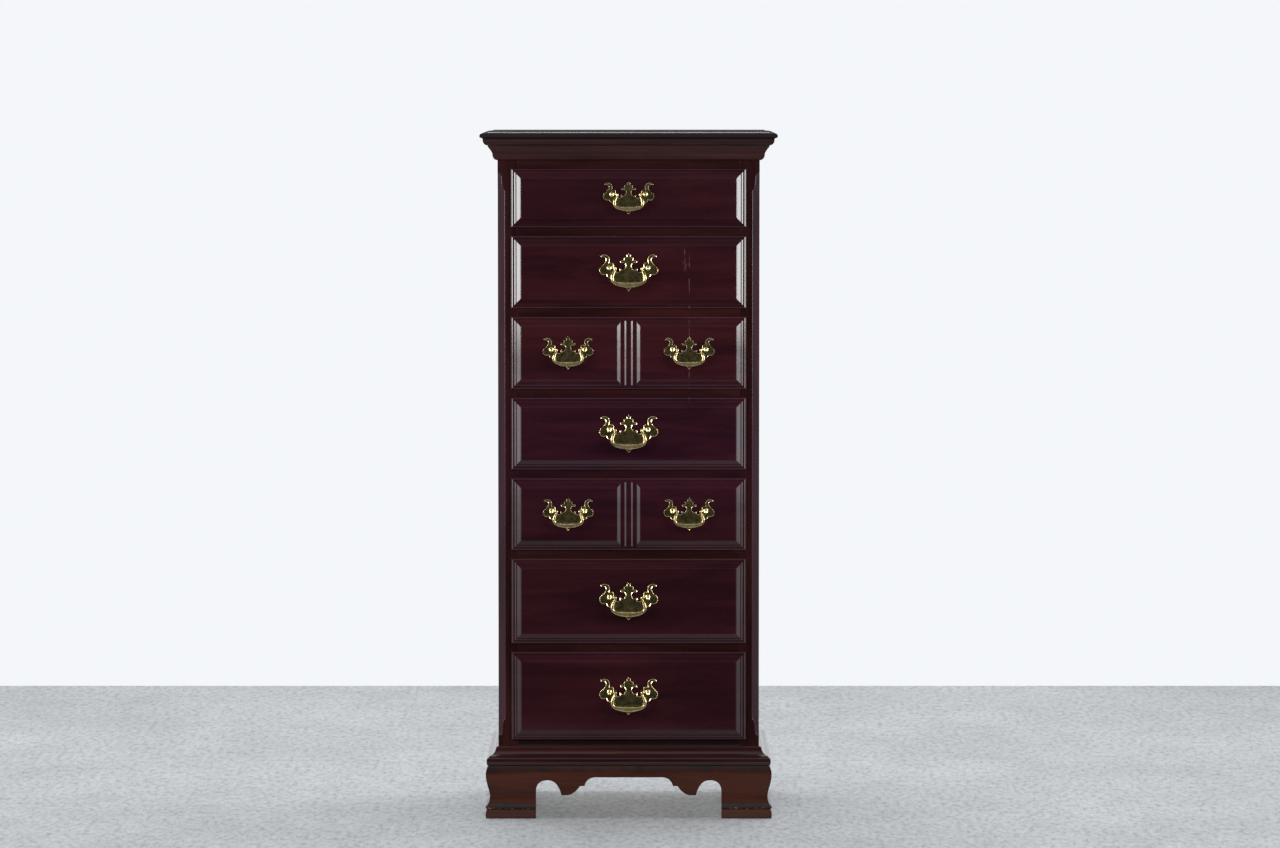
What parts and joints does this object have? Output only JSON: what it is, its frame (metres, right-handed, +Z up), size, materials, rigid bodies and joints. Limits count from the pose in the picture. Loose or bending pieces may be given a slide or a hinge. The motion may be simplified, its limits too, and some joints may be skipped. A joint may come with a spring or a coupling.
{
  "type": "tall chest of drawers",
  "caption": "Tall narrow mahogany chest of drawers with raised-field fronts, bat-wing brass bail pulls, stepped cornice and ogee bracket feet.",
  "frame": {"origin": "centre of the overall box's underside, on the floor", "axes": "+Z up, the drawers open towards -Y, +X to the right for someone facing the drawers"},
  "size_m": [0.591, 0.43, 1.37],
  "materials": {
    "case_mahogany": "dark red-brown stained mahogany, satin lacquer",
    "drawer_mahogany": "dark red-brown stained mahogany, satin to gloss lacquer",
    "base_mahogany": "brown stained mahogany, satin lacquer, lightly worn",
    "drawer_wood": "plain pale secondary wood, unfinished",
    "back_wood": "thin brown backboard, unfinished",
    "antique_brass": "antiqued cast brass with polished edges"
  },
  "bodies": {
    "case": {"top_board": "case_mahogany", "cornice": "case_mahogany", "top_rail": "case_mahogany", "back_panel": "back_wood", "divider_frame_1": "case_mahogany", "divider_frame_2": "case_mahogany", "divider_frame_3": "case_mahogany", "divider_frame_4": "case_mahogany", "divider_frame_5": "case_mahogany", "divider_frame_6": "case_mahogany", "bottom_frame": "case_mahogany", "base_moulding": "base_mahogany", "front_bracket": "base_mahogany", "side_panel_left": "case_mahogany", "corner_post_left": "case_mahogany", "side_bracket_left": "base_mahogany", "rear_foot_brace_left": "drawer_wood", "side_panel_right": "case_mahogany", "corner_post_right": "case_mahogany", "side_bracket_right": "base_mahogany", "rear_foot_brace_right": "drawer_wood"},
    "drawer_1": {"drawer_1_front": "drawer_mahogany", "drawer_1_box": "drawer_wood", "drawer_1_bottom": "drawer_wood", "pull_1_plate": "antique_brass"},
    "drawer_2": {"drawer_2_front": "drawer_mahogany", "drawer_2_box": "drawer_wood", "drawer_2_bottom": "drawer_wood", "pull_2_plate": "antique_brass"},
    "drawer_3": {"drawer_3_front": "drawer_mahogany", "drawer_3_box": "drawer_wood", "drawer_3_bottom": "drawer_wood", "pull_3_left_plate": "antique_brass", "pull_3_right_plate": "antique_brass"},
    "drawer_4": {"drawer_4_front": "drawer_mahogany", "drawer_4_box": "drawer_wood", "drawer_4_bottom": "drawer_wood", "pull_4_plate": "antique_brass"},
    "drawer_5": {"drawer_5_front": "drawer_mahogany", "drawer_5_box": "drawer_wood", "drawer_5_bottom": "drawer_wood", "pull_5_left_plate": "antique_brass", "pull_5_right_plate": "antique_brass"},
    "drawer_6": {"drawer_6_front": "drawer_mahogany", "drawer_6_box": "drawer_wood", "drawer_6_bottom": "drawer_wood", "pull_6_plate": "antique_brass"},
    "drawer_7": {"drawer_7_front": "drawer_mahogany", "drawer_7_box": "drawer_wood", "drawer_7_bottom": "drawer_wood", "pull_7_plate": "antique_brass"},
    "bail_1": {"pull_1_bail": "antique_brass"},
    "bail_2": {"pull_2_bail": "antique_brass"},
    "bail_3_left": {"pull_3_left_bail": "antique_brass"},
    "bail_3_right": {"pull_3_right_bail": "antique_brass"},
    "bail_4": {"pull_4_bail": "antique_brass"},
    "bail_5_left": {"pull_5_left_bail": "antique_brass"},
    "bail_5_right": {"pull_5_right_bail": "antique_brass"},
    "bail_6": {"pull_6_bail": "antique_brass"},
    "bail_7": {"pull_7_bail": "antique_brass"}
  },
  "joints": [
    {"name": "drawer_1_slide", "type": "slide", "parent": "case", "child": "drawer_1", "axis": [0, -1, 0], "range_m": [0, 0.27]},
    {"name": "bail_1_swing", "type": "hinge", "parent": "drawer_1", "child": "bail_1", "pos_m": [0, -0.20285, 1.24659], "axis": [-1, 0, 0], "range_deg": [0, 100]},
    {"name": "drawer_2_slide", "type": "slide", "parent": "case", "child": "drawer_2", "axis": [0, -1, 0], "range_m": [0, 0.27]},
    {"name": "bail_2_swing", "type": "hinge", "parent": "drawer_2", "child": "bail_2", "pos_m": [0, -0.20285, 1.1003], "axis": [-1, 0, 0], "range_deg": [0, 100]},
    {"name": "drawer_3_slide", "type": "slide", "parent": "case", "child": "drawer_3", "axis": [0, -1, 0], "range_m": [0, 0.27]},
    {"name": "bail_3_left_swing", "type": "hinge", "parent": "drawer_3", "child": "bail_3_left", "pos_m": [-0.1205, -0.20285, 0.93809], "axis": [-1, 0, 0], "range_deg": [0, 100]},
    {"name": "bail_3_right_swing", "type": "hinge", "parent": "drawer_3", "child": "bail_3_right", "pos_m": [0.1205, -0.20285, 0.93809], "axis": [-1, 0, 0], "range_deg": [0, 100]},
    {"name": "drawer_4_slide", "type": "slide", "parent": "case", "child": "drawer_4", "axis": [0, -1, 0], "range_m": [0, 0.27]},
    {"name": "bail_4_swing", "type": "hinge", "parent": "drawer_4", "child": "bail_4", "pos_m": [0, -0.20285, 0.7783], "axis": [-1, 0, 0], "range_deg": [0, 100]},
    {"name": "drawer_5_slide", "type": "slide", "parent": "case", "child": "drawer_5", "axis": [0, -1, 0], "range_m": [0, 0.27]},
    {"name": "bail_5_left_swing", "type": "hinge", "parent": "drawer_5", "child": "bail_5_left", "pos_m": [-0.1205, -0.20285, 0.61609], "axis": [-1, 0, 0], "range_deg": [0, 100]},
    {"name": "bail_5_right_swing", "type": "hinge", "parent": "drawer_5", "child": "bail_5_right", "pos_m": [0.1205, -0.20285, 0.61609], "axis": [-1, 0, 0], "range_deg": [0, 100]},
    {"name": "drawer_6_slide", "type": "slide", "parent": "case", "child": "drawer_6", "axis": [0, -1, 0], "range_m": [0, 0.27]},
    {"name": "bail_6_swing", "type": "hinge", "parent": "drawer_6", "child": "bail_6", "pos_m": [0, -0.20285, 0.4433], "axis": [-1, 0, 0], "range_deg": [0, 100]},
    {"name": "drawer_7_slide", "type": "slide", "parent": "case", "child": "drawer_7", "axis": [0, -1, 0], "range_m": [0, 0.27]},
    {"name": "bail_7_swing", "type": "hinge", "parent": "drawer_7", "child": "bail_7", "pos_m": [0, -0.20285, 0.2528], "axis": [-1, 0, 0], "range_deg": [0, 100]}
  ]
}
